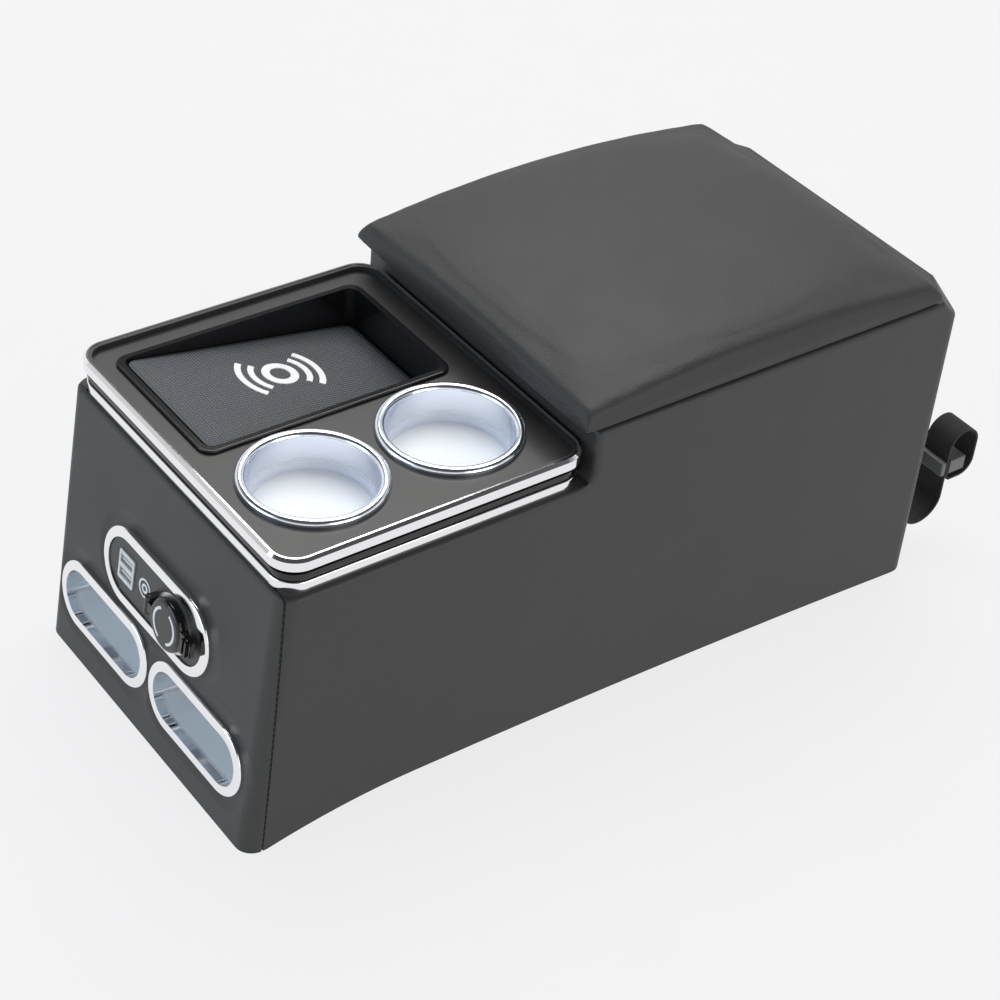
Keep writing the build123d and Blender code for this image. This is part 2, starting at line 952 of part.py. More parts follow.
with BuildPart() as usb_ports:
    with BuildSketch(plate_face):
        with Locations(usb_spot):
            Rectangle(usb_width - 2 * usb_wall, usb_tall - 2 * usb_wall)
    extrude(amount=-usb_depth)
    with BuildSketch(plate_face):
        with Locations(*usb_slots):
            Rectangle(usb_slot_width, usb_slot_tall)
        with Locations(*usb_slots):
            Rectangle(usb_slot_width - 2 * usb_wall, usb_tongue_thickness, mode=Mode.SUBTRACT)
    extrude(amount=-usb_slot_depth, mode=Mode.SUBTRACT)
save(usb_ports.part, "usb_ports")

# 12 V socket with its flip cap
cap_hinge_u = socket_place - socket_flange_radius - cap_hinge_gap
flange_face = plate_face.offset(socket_flange_thickness)
ear_place = cap_lug_length / 2 + cap_ear_gap + cap_ear_thickness / 2
cap_axis_plane = Plane(
    origin=flange_face.from_local_coords((cap_hinge_u, 0, cap_hinge_rise)),
    x_dir=power_plane.x_dir,
    z_dir=power_plane.y_dir,
)


def cap_hinge_ear(place):
    """Ear of the cap hinge, standing on the plate beside the socket flange."""
    with BuildPart() as ear:
        with BuildSketch(cap_axis_plane.offset(place - cap_ear_thickness / 2)):
            Circle(cap_lug_radius)
            with Locations((0, (cap_hinge_rise + socket_flange_thickness) / 2)):
                Rectangle(2 * cap_lug_radius, cap_hinge_rise + socket_flange_thickness)
            Circle(cap_pin_radius, mode=Mode.SUBTRACT)
        extrude(amount=cap_ear_thickness)
    return ear.part


with BuildPart() as socket_barrel:
    with BuildSketch(plate_face):
        with Locations(socket_spot):
            Circle(socket_flange_radius)
    extrude(amount=socket_flange_thickness)
    with BuildSketch(flange_face):
        with Locations(socket_spot):
            Circle(socket_outer_radius)
    extrude(amount=-socket_depth)
    with BuildSketch(flange_face):
        with Locations(socket_spot):
            Circle(socket_bore_radius)
    extrude(amount=socket_floor - socket_depth, mode=Mode.SUBTRACT)
save(socket_barrel.part, "socket_barrel")

with BuildPart() as cap_bracket:
    with BuildSketch(plate_face):
        with Locations((cap_hinge_u, 0)):
            Rectangle(2 * cap_lug_radius, 2 * ear_place + cap_ear_thickness)
    extrude(amount=cap_ear_gap + running_clearance)
    add(cap_hinge_ear(-ear_place))
    add(cap_hinge_ear(ear_place))
save(cap_bracket.part, "cap_bracket")

with BuildPart() as socket_contact:
    with BuildSketch(flange_face.offset(socket_floor - socket_depth)):
        with Locations(socket_spot):
            Circle(contact_radius)
    extrude(amount=contact_height)
    fillet(
        socket_contact.faces().sort_by(Axis(power_plane.origin, power_plane.z_dir))[-1].edges(),
        contact_radius / 2,
    )
save(socket_contact.part, "socket_contact")

with BuildPart() as cap_pin:
    with BuildSketch(cap_axis_plane.offset(-ear_place - cap_ear_thickness / 2)):
        Circle(cap_pin_radius)
    extrude(amount=2 * ear_place + cap_ear_thickness)
save(cap_pin.part, "cap_pin")

with BuildPart() as socket_cap:
    with BuildSketch(flange_face):
        with Locations(socket_spot):
            Circle(cap_radius)
    extrude(amount=cap_thickness)
    fillet(
        socket_cap.faces().sort_by(Axis(power_plane.origin, power_plane.z_dir))[-1].edges(),
        cap_edge,
    )
    with BuildSketch(flange_face):
        with Locations(socket_spot):
            Circle(socket_bore_radius - cap_plug_clearance)
    extrude(amount=-cap_plug_depth)
    # pull tab on the far side from the hinge
    with BuildSketch(flange_face.offset((cap_thickness - cap_tab_thickness) / 2)):
        with Locations((socket_place + (cap_radius + cap_tab_length) / 2, 0)):
            RectangleRounded(cap_radius + cap_tab_length, cap_tab_width, cap_edge)
    extrude(amount=cap_tab_thickness)
    with BuildSketch(flange_face.offset((cap_thickness + cap_tab_thickness) / 2)):
        with Locations((socket_place + cap_radius + cap_tab_length / 2, 0)):
            with GridLocations(cap_rib_pitch, 0, cap_rib_count, 1):
                Rectangle(cap_rib_width, cap_tab_width - 2 * cap_rib_width)
    extrude(amount=cap_rib_height)
    # lug that turns on the pin
    with BuildSketch(cap_axis_plane.offset(-cap_lug_length / 2)):
        Circle(cap_lug_radius)
        with Locations(((socket_place - cap_hinge_u) / 2, 0)):
            Rectangle(socket_place - cap_hinge_u, cap_arm_height)
        Circle(cap_pin_radius + running_clearance, mode=Mode.SUBTRACT)
    extrude(amount=cap_lug_length)
save(socket_cap.part, "socket_cap")

# Padded lid
def lid_edge_height(side, crown):
    """Height of a crowned section just outside the lid, from its height at the lid's side."""
    rise = crown - side
    radius = ((lid_width / 2) ** 2 + rise**2) / (2 * rise)
    return crown - radius + sqrt(radius**2 - lid_reach**2)


lid_front_x = step_x - lid_overhang
lid_rear_x = rear_x - lid_rear_gap
lid_length = lid_rear_x - lid_front_x
lid_x = (lid_front_x + lid_rear_x) / 2
lid_low = wall_top + lid_gap
lid_width = body_width - 2 * lid_side_gap
lid_reach = lid_width / 2 + lid_margin
lid_stations = (
    (lid_front_x - lid_margin, lid_front_side, lid_front_crown),
    (lid_front_x + lid_rise_place, lid_rise_side, lid_rise_crown),
    (lid_x, lid_middle_side, lid_middle_crown),
    (lid_rear_x - lid_fall_place, lid_fall_side, lid_fall_crown),
    (lid_rear_x + lid_margin, lid_rear_side, lid_rear_crown),
)
lid_pocket_length = lid_length - 2 * lid_wrap
lid_pocket_width = lid_width - 2 * lid_wrap
lid_stack = lid_board_thickness + lid_lining_thickness

with BuildPart() as lid_top:
    for place, side, crown in lid_stations:
        with BuildSketch(Plane.YZ.offset(place)):
            with BuildLine():
                Polyline(
                    (-lid_reach, lid_low + lid_edge_height(side, crown)),
                    (-lid_reach, lid_low - lid_margin),
                    (lid_reach, lid_low - lid_margin),
                    (lid_reach, lid_low + lid_edge_height(side, crown)),
                )
                ThreePointArc(
                    (lid_reach, lid_low + lid_edge_height(side, crown)),
                    (0, lid_low + crown),
                    (-lid_reach, lid_low + lid_edge_height(side, crown)),
                )
            make_face()
    loft()

with BuildPart() as lid_cushion:
    with BuildSketch(Plane.XY.offset(lid_low)):
        with Locations((lid_x, 0)):
            RectangleRounded(lid_length, lid_width, lid_radius)
    extrude(amount=2 * lid_middle_crown)
    add(lid_top.part, mode=Mode.INTERSECT)
    shoulder = lid_cushion.edges().filter_by(
        lambda e: e.center().Z > lid_low + touch and e.vertices()[0].Z > lid_low + touch
        and e.vertices()[-1].Z > lid_low + touch
    )
    fillet(shoulder, lid_shoulder_radius)
    with BuildSketch(Plane.XY.offset(lid_low)):
        with Locations((lid_x, 0)):
            RectangleRounded(lid_pocket_length, lid_pocket_width, lid_radius - lid_wrap)
    extrude(amount=lid_stack, mode=Mode.SUBTRACT)
save(lid_cushion.part, "lid_cushion")

lid_screw_x = lid_rear_x + hinge_setback - hinge_screw_place
lid_screw_points = [
    (lid_screw_x, side + shift)
    for side in hinge_sides
    for shift in (-hinge_screw_pitch / 2, hinge_screw_pitch / 2)
]

with BuildPart() as lid_lining:
    with BuildSketch(Plane.XY.offset(lid_low)):
        with Locations((lid_x, 0)):
            RectangleRounded(lid_pocket_length, lid_pocket_width, lid_radius - lid_wrap)
        with Locations(*lid_screw_points):
            Circle(hinge_screw_radius, mode=Mode.SUBTRACT)
    extrude(amount=lid_lining_thickness)
save(lid_lining.part, "lid_lining")

with BuildPart() as lid_board:
    with BuildSketch(Plane.XY.offset(lid_low + lid_lining_thickness)):
        with Locations((lid_x, 0)):
            RectangleRounded(lid_pocket_length, lid_pocket_width, lid_radius - lid_wrap)
    extrude(amount=lid_board_thickness)
    with BuildSketch(Plane.XY.offset(lid_low - leaf_thickness)):
        with Locations(*lid_screw_points):
            Circle(hinge_screw_radius)
    extrude(amount=lid_screw_length, mode=Mode.SUBTRACT)
save(lid_board.part, "lid_board")

with BuildPart() as lid_bumpers:
    with BuildSketch(Plane.XY.offset(wall_top)):
        with Locations((step_x + (edge_radius + wall) / 2, 0)):
            with GridLocations(0, 2 * (inner_half - bumper_side_margin), 1, 2):
                Circle(bumper_radius)
    extrude(amount=lid_gap)
save(lid_bumpers.part, "lid_bumpers")

# Butt hinges: the fixed leaf hangs on the rear wall, the lid leaf lies under the lid
hinge_x = lid_rear_x + hinge_setback
hinge_z = lid_low + hinge_rise
knuckle_length = hinge_width / 3
liner_face_x = rear_inner_x - liner_thickness


def knuckle(y_low, y_high, bore):
    """One hinge knuckle round the axis, between two Y places."""
    with BuildPart() as roll:
        with BuildSketch(Plane.XZ.offset(-y_low)):
            with Locations((hinge_x, hinge_z)):
                Circle(knuckle_radius)
                Circle(bore, mode=Mode.SUBTRACT)
        extrude(amount=y_low - y_high)
    return roll.part


def pin_bore(y):
    """Cutter that keeps the leaves out of the hinge bore."""
    with BuildPart() as bore:
        with BuildSketch(Plane.XZ.offset(-y + hinge_width)):
            with Locations((hinge_x, hinge_z)):
                Circle(hinge_pin_radius + running_clearance)
        extrude(amount=-2 * hinge_width)
    return bore.part


def fixed_leaf(y):
    """Leaf on the rear wall of the bin, with the two outer knuckles."""
    low = y - hinge_width / 2
    high = y + hinge_width / 2
    leaf_x = liner_face_x - leaf_thickness
    with BuildPart() as leaf:
        add(
            slab(
                leaf_x,
                liner_face_x,
                low,
                high,
                lid_low - leaf_length,
                lid_low - 2 * leaf_thickness,
            )
        )
        for y_low, y_high in ((low, low + knuckle_length), (high - knuckle_length, high)):
            add(slab(leaf_x, liner_face_x, y_low, y_high, lid_low - leaf_length, hinge_z))
            add(knuckle(y_low, y_high, hinge_pin_radius))
        add(pin_bore(y), mode=Mode.SUBTRACT)
        for y_low, y_high in ((low, low + knuckle_length), (high - knuckle_length, high)):
            add(knuckle(y_low, y_high, hinge_pin_radius))
        with Locations(
            *[
                Plane(origin=(leaf_x, y + shift, hinge_screw_z), z_dir=(-1, 0, 0)).location
                for shift in (-hinge_screw_pitch / 2, hinge_screw_pitch / 2)
            ]
        ):
            CounterSinkHole(hinge_screw_radius, hinge_screw_head, 2 * leaf_thickness, 90)
    return leaf.part


def moving_leaf(y):
    """Leaf under the lid, with the middle knuckle."""
    low = y - hinge_width / 2
    high = y + hinge_width / 2
    y_low = low + knuckle_length + knuckle_gap
    y_high = high - knuckle_length - knuckle_gap
    with BuildPart() as leaf:
        add(slab(hinge_x - leaf_length, lid_rear_x, low, high, lid_low - leaf_thickness, lid_low))
        add(slab(lid_rear_x - leaf_thickness, hinge_x, y_low, y_high, lid_low - leaf_thickness, lid_low))
        add(knuckle(y_low, y_high, hinge_pin_radius + running_clearance))
        add(pin_bore(y), mode=Mode.SUBTRACT)
        with Locations(
            *[
                Plane(origin=(lid_screw_x, y + shift, lid_low - leaf_thickness), z_dir=(0, 0, -1)).location
                for shift in (-hinge_screw_pitch / 2, hinge_screw_pitch / 2)
            ]
        ):
            CounterSinkHole(hinge_screw_radius, hinge_screw_head, 2 * leaf_thickness, 90)
    return leaf.part


def hinge_pin(y):
    """Pin through the three knuckles."""
    with BuildPart() as pin:
        with BuildSketch(Plane.XZ.offset(-y + hinge_width / 2)):
            with Locations((hinge_x, hinge_z)):
                Circle(hinge_pin_radius)
        extrude(amount=-hinge_width)
    return pin.part


def countersunk_screw(plane, length):
    """Flat-headed screw whose head is flush with the plane."""
    with BuildPart() as screw:
        with BuildSketch(plane):
            Circle(hinge_screw_head)
        extrude(amount=-(hinge_screw_head - hinge_screw_radius), taper=45)
        with BuildSketch(plane):
            Circle(hinge_screw_radius)
        extrude(amount=-length)
    return screw.part


for name, y in zip(("left", "right"), hinge_sides):
    save(fixed_leaf(y), f"hinge_leaf_{name}")
    save(moving_leaf(y), f"lid_leaf_{name}")
    save(hinge_pin(y), f"hinge_pin_{name}")

with BuildPart() as hinge_body_screws:
    for y, z in body_screw_points:
        add(
            countersunk_screw(
                Plane(origin=(liner_face_x - leaf_thickness, y, z), z_dir=(-1, 0, 0)),
                hinge_screw_length,
            )
        )
save(hinge_body_screws.part, "hinge_body_screws")

with BuildPart() as hinge_lid_screws:
    for x, y in lid_screw_points:
        add(
            countersunk_screw(
                Plane(origin=(x, y, lid_low - leaf_thickness), z_dir=(0, 0, -1)), lid_screw_length
            )
        )
save(hinge_lid_screws.part, "hinge_lid_screws")

# Rear strap: webbing held under a screwed plate, with a slider and a tail loop
strap_face_x = rear_x + webbing_thickness / 2
run_x = rear_x + strap_run
tuck_x = run_x + webbing_thickness + webbing_gap
tail_x = rear_x + strap_reach - webbing_thickness / 2
turn_z = strap_low + (run_x - rear_x) / 2
crest_z = tail_top - (tail_x - run_x) / 2
strap_middle = Plane.XZ.offset(-strap_side)
slot_low_x = run_x - webbing_thickness / 2 - slider_fit
slot_high_x = tuck_x + webbing_thickness / 2 + slider_fit

with BuildPart() as strap_webbing:
    with BuildSketch(strap_middle):
        with BuildLine() as strap_path:
            Line((strap_face_x, anchor_high), (strap_face_x, turn_z))
            TangentArc((strap_face_x, turn_z), (run_x, turn_z), tangent=(0, -1))
            Line((run_x, turn_z), (run_x, crest_z))
            TangentArc((run_x, crest_z), (tail_x, crest_z), tangent=(0, 1))
            Line((tail_x, crest_z), (tail_x, tail_middle))
            FilletPolyline(
                (tail_x, tail_middle),
                (tail_x, tail_low),
                (tuck_x + 2 * tail_tuck, tail_low),
                radius=tail_knee,
            )
            FilletPolyline(
                (tuck_x + 2 * tail_tuck, tail_low),
                (tuck_x, tail_low),
                (tuck_x, slider_low + slider_tall),
                radius=tail_tuck,
            )
        trace(line_width=webbing_thickness)
    extrude(amount=webbing_width / 2, both=True)
    with BuildSketch(Plane.YZ.offset(rear_x)):
        with Locations(*strap_screw_points):
            Circle(strap_screw_radius)
    extrude(amount=webbing_thickness, mode=Mode.SUBTRACT)
save(strap_webbing.part, "strap_webbing")

with BuildPart() as strap_slider:
    add(
        slab(
            slot_low_x - slider_wall,
            slot_high_x + slider_bar,
            strap_side - webbing_width / 2,
            strap_side + webbing_width / 2 + slider_fit + slider_wall,
            slider_low,
            slider_low + slider_tall,
        )
    )
    fillet(strap_slider.edges(), slider_wall / 3)
    # slot for the two layers of webbing, open towards the near side
    add(
        slab(
            slot_low_x,
            slot_high_x,
            strap_side - webbing_width,
            strap_side + webbing_width / 2 + slider_fit,
            slider_low,
            slider_low + slider_tall,
        ),
        mode=Mode.SUBTRACT,
    )
save(strap_slider.part, "strap_slider")

anchor_plane = Plane.YZ.offset(rear_x + webbing_thickness)

with BuildPart() as strap_anchor:
    with BuildSketch(anchor_plane):
        with Locations((strap_side, (anchor_low + anchor_high) / 2)):
            RectangleRounded(anchor_width, anchor_high - anchor_low, anchor_edge)
        with Locations(*strap_screw_points):
            Circle(strap_screw_radius, mode=Mode.SUBTRACT)
    extrude(amount=anchor_thickness)
save(strap_anchor.part, "strap_anchor")

with BuildPart() as strap_screws:
    with BuildSketch(anchor_plane.offset(anchor_thickness)):
        with Locations(*strap_screw_points):
            Circle(strap_screw_head)
    extrude(amount=strap_screw_head_height)
    fillet(
        strap_screws.faces().group_by(Axis.X)[-1].edges(),
        strap_screw_head_height / 2,
    )
    with BuildSketch(anchor_plane.offset(anchor_thickness)):
        with Locations(*strap_screw_points):
            Circle(strap_screw_radius)
    extrude(amount=-strap_screw_length)
save(strap_screws.part, "strap_screws")
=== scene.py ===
import math

import bmesh
import bpy
from mathutils import Matrix, Vector


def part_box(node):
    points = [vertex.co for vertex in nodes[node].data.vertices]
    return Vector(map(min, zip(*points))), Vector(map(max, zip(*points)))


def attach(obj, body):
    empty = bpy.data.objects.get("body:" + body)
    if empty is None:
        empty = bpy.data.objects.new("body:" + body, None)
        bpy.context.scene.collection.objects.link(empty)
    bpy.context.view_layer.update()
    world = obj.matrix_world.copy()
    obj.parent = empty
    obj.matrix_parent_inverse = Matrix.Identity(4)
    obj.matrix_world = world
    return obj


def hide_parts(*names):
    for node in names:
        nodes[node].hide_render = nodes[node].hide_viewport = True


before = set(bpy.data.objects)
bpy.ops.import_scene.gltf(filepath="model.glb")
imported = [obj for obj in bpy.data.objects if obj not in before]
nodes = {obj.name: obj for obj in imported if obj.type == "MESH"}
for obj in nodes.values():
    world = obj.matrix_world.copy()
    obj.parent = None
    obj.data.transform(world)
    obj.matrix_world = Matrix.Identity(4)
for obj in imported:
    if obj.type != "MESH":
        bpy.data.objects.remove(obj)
scene = bpy.context.scene
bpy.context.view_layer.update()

# Leather panels of the box
# Padded black synthetic leather, cut in five panels and sewn together round the boards. Its fine
# closed grain is a node group that the lid shares; the faint speckle is shared by every finish.


def link(tree, out_node, out_name, in_node, in_name):
    """Join two sockets by name or number."""
    tree.links.new(out_node.outputs[out_name], in_node.inputs[in_name])


def add_sockets(tree, side, kind, *names):
    """New sockets of one kind on a node group."""
    for name in names:
        tree.interface.new_socket(name, in_out=side, socket_type="NodeSocket" + kind)


def work_out(tree, operation, first, second=0.0):
    """Socket with the result of a Math node on two sockets or numbers."""
    node = tree.nodes.new("ShaderNodeMath")
    node.operation = operation
    for entry, value in zip(node.inputs, (first, second)):
        if isinstance(value, float):
            entry.default_value = value
        else:
            tree.links.new(value, entry)
    return node.outputs[0]


speckle = bpy.data.node_groups.new("speckle", "ShaderNodeTree")
add_sockets(speckle, "INPUT", "Color", "Colour")
add_sockets(speckle, "INPUT", "Float", "Roughness", "Colour spread", "Roughness spread")
add_sockets(speckle, "INPUT", "Float", "Grains per metre", "Grain depth")
add_sockets(speckle, "OUTPUT", "Color", "Colour")
add_sockets(speckle, "OUTPUT", "Float", "Roughness")
add_sockets(speckle, "OUTPUT", "Vector", "Normal")
entry = speckle.nodes.new("NodeGroupInput")
leave = speckle.nodes.new("NodeGroupOutput")
where = speckle.nodes.new("ShaderNodeTexCoord")
grains = speckle.nodes.new("ShaderNodeTexNoise")
grains.inputs["Detail"].default_value = 2.0
clouds = speckle.nodes.new("ShaderNodeTexNoise")
clouds.inputs["Scale"].default_value = 24.0
clouds.inputs["Detail"].default_value = 3.0
tint = speckle.nodes.new("ShaderNodeHueSaturation")
relief = speckle.nodes.new("ShaderNodeBump")
relief.inputs["Strength"].default_value = 0.6
link(speckle, where, "Object", grains, "Vector")
link(speckle, where, "Object", clouds, "Vector")
link(speckle, entry, "Grains per metre", grains, "Scale")
both = work_out(speckle, "ADD", grains.outputs["Fac"], clouds.outputs["Fac"])
off_mean = work_out(speckle, "SUBTRACT", both, 1.0)
paler = work_out(speckle, "MULTIPLY", off_mean, entry.outputs["Colour spread"])
speckle.links.new(work_out(speckle, "ADD", paler, 1.0), tint.inputs["Value"])
link(speckle, entry, "Colour", tint, "Color")
link(speckle, tint, "Color", leave, "Colour")
cloudy = work_out(speckle, "SUBTRACT", clouds.outputs["Fac"], 0.5)
duller = work_out(speckle, "MULTIPLY", cloudy, entry.outputs["Roughness spread"])
duller = work_out(speckle, "ADD", duller, entry.outputs["Roughness"])
speckle.links.new(duller, leave.inputs["Roughness"])
link(speckle, grains, "Fac", relief, "Height")
link(speckle, entry, "Grain depth", relief, "Distance")
link(speckle, relief, "Normal", leave, "Normal")


def finish(
    name, colour, roughness, metallic=0.0, spread=0.12, smudge=0.10, grains=1100, depth=3e-5
):
    """New material whose colour, gloss and relief come from the speckle."""
    material = bpy.data.materials.new(name)
    material.use_nodes = True
    tree = material.node_tree
    shader = tree.nodes["Principled BSDF"]
    shader.inputs["Metallic"].default_value = metallic
    surface = tree.nodes.new("ShaderNodeGroup")
    surface.node_tree = speckle
    surface.inputs["Colour"].default_value = (*colour, 1.0)
    surface.inputs["Roughness"].default_value = roughness
    surface.inputs["Colour spread"].default_value = spread
    surface.inputs["Roughness spread"].default_value = smudge
    surface.inputs["Grains per metre"].default_value = grains
    surface.inputs["Grain depth"].default_value = depth
    link(tree, surface, "Colour", shader, "Base Color")
    link(tree, surface, "Roughness", shader, "Roughness")
    link(tree, surface, "Normal", shader, "Normal")
    return material


def dress(material, *names):
    """Give CAD nodes a material."""
    for name in names:
        nodes[name].data.materials.clear()
        nodes[name].data.materials.append(material)


grain = bpy.data.node_groups.new("leather_grain", "ShaderNodeTree")
add_sockets(grain, "INPUT", "Float", "Cells per metre", "Grain depth", "Unevenness depth")
add_sockets(grain, "OUTPUT", "Vector", "Normal")
entry = grain.nodes.new("NodeGroupInput")
leave = grain.nodes.new("NodeGroupOutput")
where = grain.nodes.new("ShaderNodeTexCoord")
cells = grain.nodes.new("ShaderNodeTexVoronoi")
cells.feature = "SMOOTH_F1"
cells.inputs["Smoothness"].default_value = 0.4
waves = grain.nodes.new("ShaderNodeTexNoise")
waves.inputs["Scale"].default_value = 14.0
waves.inputs["Detail"].default_value = 0.0
soft = grain.nodes.new("ShaderNodeBump")
soft.inputs["Strength"].default_value = 1.0
fine = grain.nodes.new("ShaderNodeBump")
fine.inputs["Strength"].default_value = 0.6
link(grain, where, "Object", cells, "Vector")
link(grain, entry, "Cells per metre", cells, "Scale")
link(grain, where, "Object", waves, "Vector")
link(grain, waves, "Fac", soft, "Height")
link(grain, entry, "Unevenness depth", soft, "Distance")
link(grain, cells, "Distance", fine, "Height")
link(grain, entry, "Grain depth", fine, "Distance")
link(grain, soft, "Normal", fine, "Normal")
link(grain, fine, "Normal", leave, "Normal")


def leather(name, colour, roughness, unevenness):
    """Leather: the shared speckle with the shared grain as its relief."""
    material = finish(name, colour, roughness, spread=0.25, smudge=0.15)
    tree = material.node_tree
    skin = tree.nodes.new("ShaderNodeGroup")
    skin.node_tree = grain
    skin.inputs["Cells per metre"].default_value = 800.0
    skin.inputs["Grain depth"].default_value = 0.00016
    skin.inputs["Unevenness depth"].default_value = unevenness
    link(tree, skin, "Normal", tree.nodes["Principled BSDF"], "Normal")
    return material


box_black, box_roughness, box_unevenness = (0.030, 0.0305, 0.0295), 0.50, 0.0005
box_leather = leather("box_leather", box_black, box_roughness, box_unevenness)
dress(box_leather, "cover_side_left", "cover_side_right", "cover_rear", "cover_step")

# Stitches of the corner seams
# Black thread, sewn through both panels along each corner seam. A node tree sets one stitch after
# another along the seam's line, sunk in the leather.
thread = finish("thread", (0.007, 0.007, 0.0075), 0.75, depth=6e-5)
stitch_pitch, stitch_size = 0.0040, (0.0006, 0.0006, 0.0014)
rows = bpy.data.node_groups.new("stitch_row", "GeometryNodeTree")
add_sockets(rows, "INPUT", "Geometry", "Geometry")
add_sockets(rows, "INPUT", "Float", "Pitch")
add_sockets(rows, "INPUT", "Vector", "Stitch size")
add_sockets(rows, "INPUT", "Material", "Thread")
add_sockets(rows, "OUTPUT", "Geometry", "Geometry")
entry = rows.nodes.new("NodeGroupInput")
leave = rows.nodes.new("NodeGroupOutput")
space = rows.nodes.new("GeometryNodeResampleCurve")
space.mode = "LENGTH"
along = rows.nodes.new("GeometryNodeInputTangent")
turn = rows.nodes.new("FunctionNodeAlignRotationToVector")
turn.axis = "Z"
bead = rows.nodes.new("GeometryNodeMeshUVSphere")
bead.inputs["Segments"].default_value = 8
bead.inputs["Rings"].default_value = 6
bead.inputs["Radius"].default_value = 1.0
place = rows.nodes.new("GeometryNodeInstanceOnPoints")
real = rows.nodes.new("GeometryNodeRealizeInstances")
paint = rows.nodes.new("GeometryNodeSetMaterial")
link(rows, entry, "Geometry", space, "Curve")
link(rows, entry, "Pitch", space, "Length")
link(rows, space, "Curve", place, "Points")
link(rows, along, "Tangent", turn, "Vector")
link(rows, turn, "Rotation", place, "Rotation")
link(rows, entry, "Stitch size", place, "Scale")
link(rows, bead, "Mesh", place, "Instance")
link(rows, place, "Instances", real, "Geometry")
link(rows, real, "Geometry", paint, "Geometry")
link(rows, entry, "Thread", paint, "Material")
link(rows, paint, "Geometry", leave, "Geometry")


def set_inputs(maker, values):
    """Set a node modifier's inputs by the identifiers of their named sockets."""
    for socket in maker.node_group.interface.items_tree:
        if socket.in_out == "INPUT" and socket.name in values:
            maker[socket.identifier] = values[socket.name]


def modified_mesh(piece):
    """Plain mesh of what a piece's modifiers make."""
    depsgraph = bpy.context.evaluated_depsgraph_get()
    return bpy.data.meshes.new_from_object(piece.evaluated_get(depsgraph))


def settle(piece):
    """Keep what the modifiers make as the piece's own mesh."""
    made = modified_mesh(piece)
    piece.modifiers.clear()
    piece.data = made


def stitch(name, points):
    """A row of stitches along points on the leather, as one piece of the box."""
    line = bpy.data.curves.new(name + "_line", "CURVE")
    line.dimensions = "3D"
    run = line.splines.new("POLY")
    run.points.add(len(points) - 1)
    for point, spot in zip(run.points, points):
        point.co = (*spot, 1.0)
    guide = bpy.data.objects.new(name + "_guide", line)
    scene.collection.objects.link(guide)
    maker = guide.modifiers.new("stitches", "NODES")
    maker.node_group = rows
    set_inputs(maker, {"Pitch": stitch_pitch, "Stitch size": stitch_size, "Thread": thread})
    bpy.context.view_layer.update()
    piece = bpy.data.objects.new(name, modified_mesh(guide))
    bpy.data.objects.remove(guide)
    scene.collection.objects.link(piece)
    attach(piece, "box")


front_low, front_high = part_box("cover_front")
box_front, ledge_z = front_low.x, front_high.z
box_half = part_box("cover_side_right")[1].y
box_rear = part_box("cover_rear")[1].x
front_setback, front_height = 0.019, 0.166
lean = front_setback / front_height
corner = 0.010
seam_low, front_points, rear_points = 0.003, 60, 20
seam_foot, seam_head, seam_head_z = 0.0105, 0.0010, 0.1995
sunk_x, sunk_y = 0.0002, 0.0005
rear_inset_x, rear_inset_y, rear_seam_height = 0.0036, 0.0030, 0.174
for side, word in ((-1, "left"), (1, "right")):
    front_seam = []
    for step in range(front_points):
        z = seam_low + (ledge_z - 2 * seam_low) * step / (front_points - 1)
        setback = seam_foot + (seam_head - seam_foot) * z / seam_head_z
        bend = max(corner - setback, 0.0)
        y = box_half - corner + math.sqrt(corner**2 - bend**2)
        front_seam.append((box_front + lean * z + setback + sunk_x, side * (y - sunk_y), z))
    stitch("stitches_front_" + word, front_seam)
    rear_seam = []
    for step in range(rear_points):
        z = seam_low + rear_seam_height * step / (rear_points - 1)
        rear_seam.append((box_rear - rear_inset_x, side * (box_half - rear_inset_y), z))
    stitch("stitches_rear_" + word, rear_seam)

# Lid pad
# Foam under stretched leather on a board. The CAD lid is cut into even cells and blown up a little
# while the board holds its underside. The swelling is evened out, so the leather stays taut; the
# corners and the foot are drawn out square, as the leather is pulled tight over the board there.
lid_leather = leather("lid_leather", (0.024, 0.0245, 0.025), 0.57, 0.0006)
lid_low, lid_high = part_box("lid_cushion")
cell_size, held_height, cloth_frames = 0.0025, 0.004, 20
shape = bmesh.new()
for name in ("lid_cushion", "lid_board", "lid_lining"):
    shape.from_mesh(nodes[name].data)
pad_mesh = bpy.data.meshes.new("lid_pad")
shape.to_mesh(pad_mesh)
shape.free()
pad = bpy.data.objects.new("lid_pad", pad_mesh)
scene.collection.objects.link(pad)
even_cells = pad.modifiers.new("cells", "REMESH")
even_cells.mode = "VOXEL"
even_cells.voxel_size = cell_size
bpy.context.view_layer.update()
settle(pad)
start = [vertex.co.copy() for vertex in pad.data.vertices]
underside = [v.index for v in pad.data.vertices if v.co.z < lid_low.z + held_height]
pad.vertex_groups.new(name="board").add(underside, 1.0, "REPLACE")
foam = pad.modifiers.new("foam", "CLOTH")
foam.settings.quality = 5
foam.settings.mass = 0.2
foam.settings.tension_stiffness = 15.0
foam.settings.compression_stiffness = 15.0
foam.settings.bending_stiffness = 0.5
foam.settings.vertex_group_mass = "board"
foam.settings.use_pressure = True
foam.settings.uniform_pressure_force = 4.0
foam.settings.effector_weights.gravity = 0.0
foam.point_cache.frame_start = 1
foam.point_cache.frame_end = cloth_frames
for step in range(1, cloth_frames + 1):
    scene.frame_set(step)
settle(pad)
most_swelling, evening_rounds = 0.0015, 16
swelling = [vertex.co - home for vertex, home in zip(pad.data.vertices, start)]
for shift in swelling:
    if shift.length > most_swelling:
        shift *= most_swelling / shift.length
edge_ends = [tuple(edge.vertices) for edge in pad.data.edges]
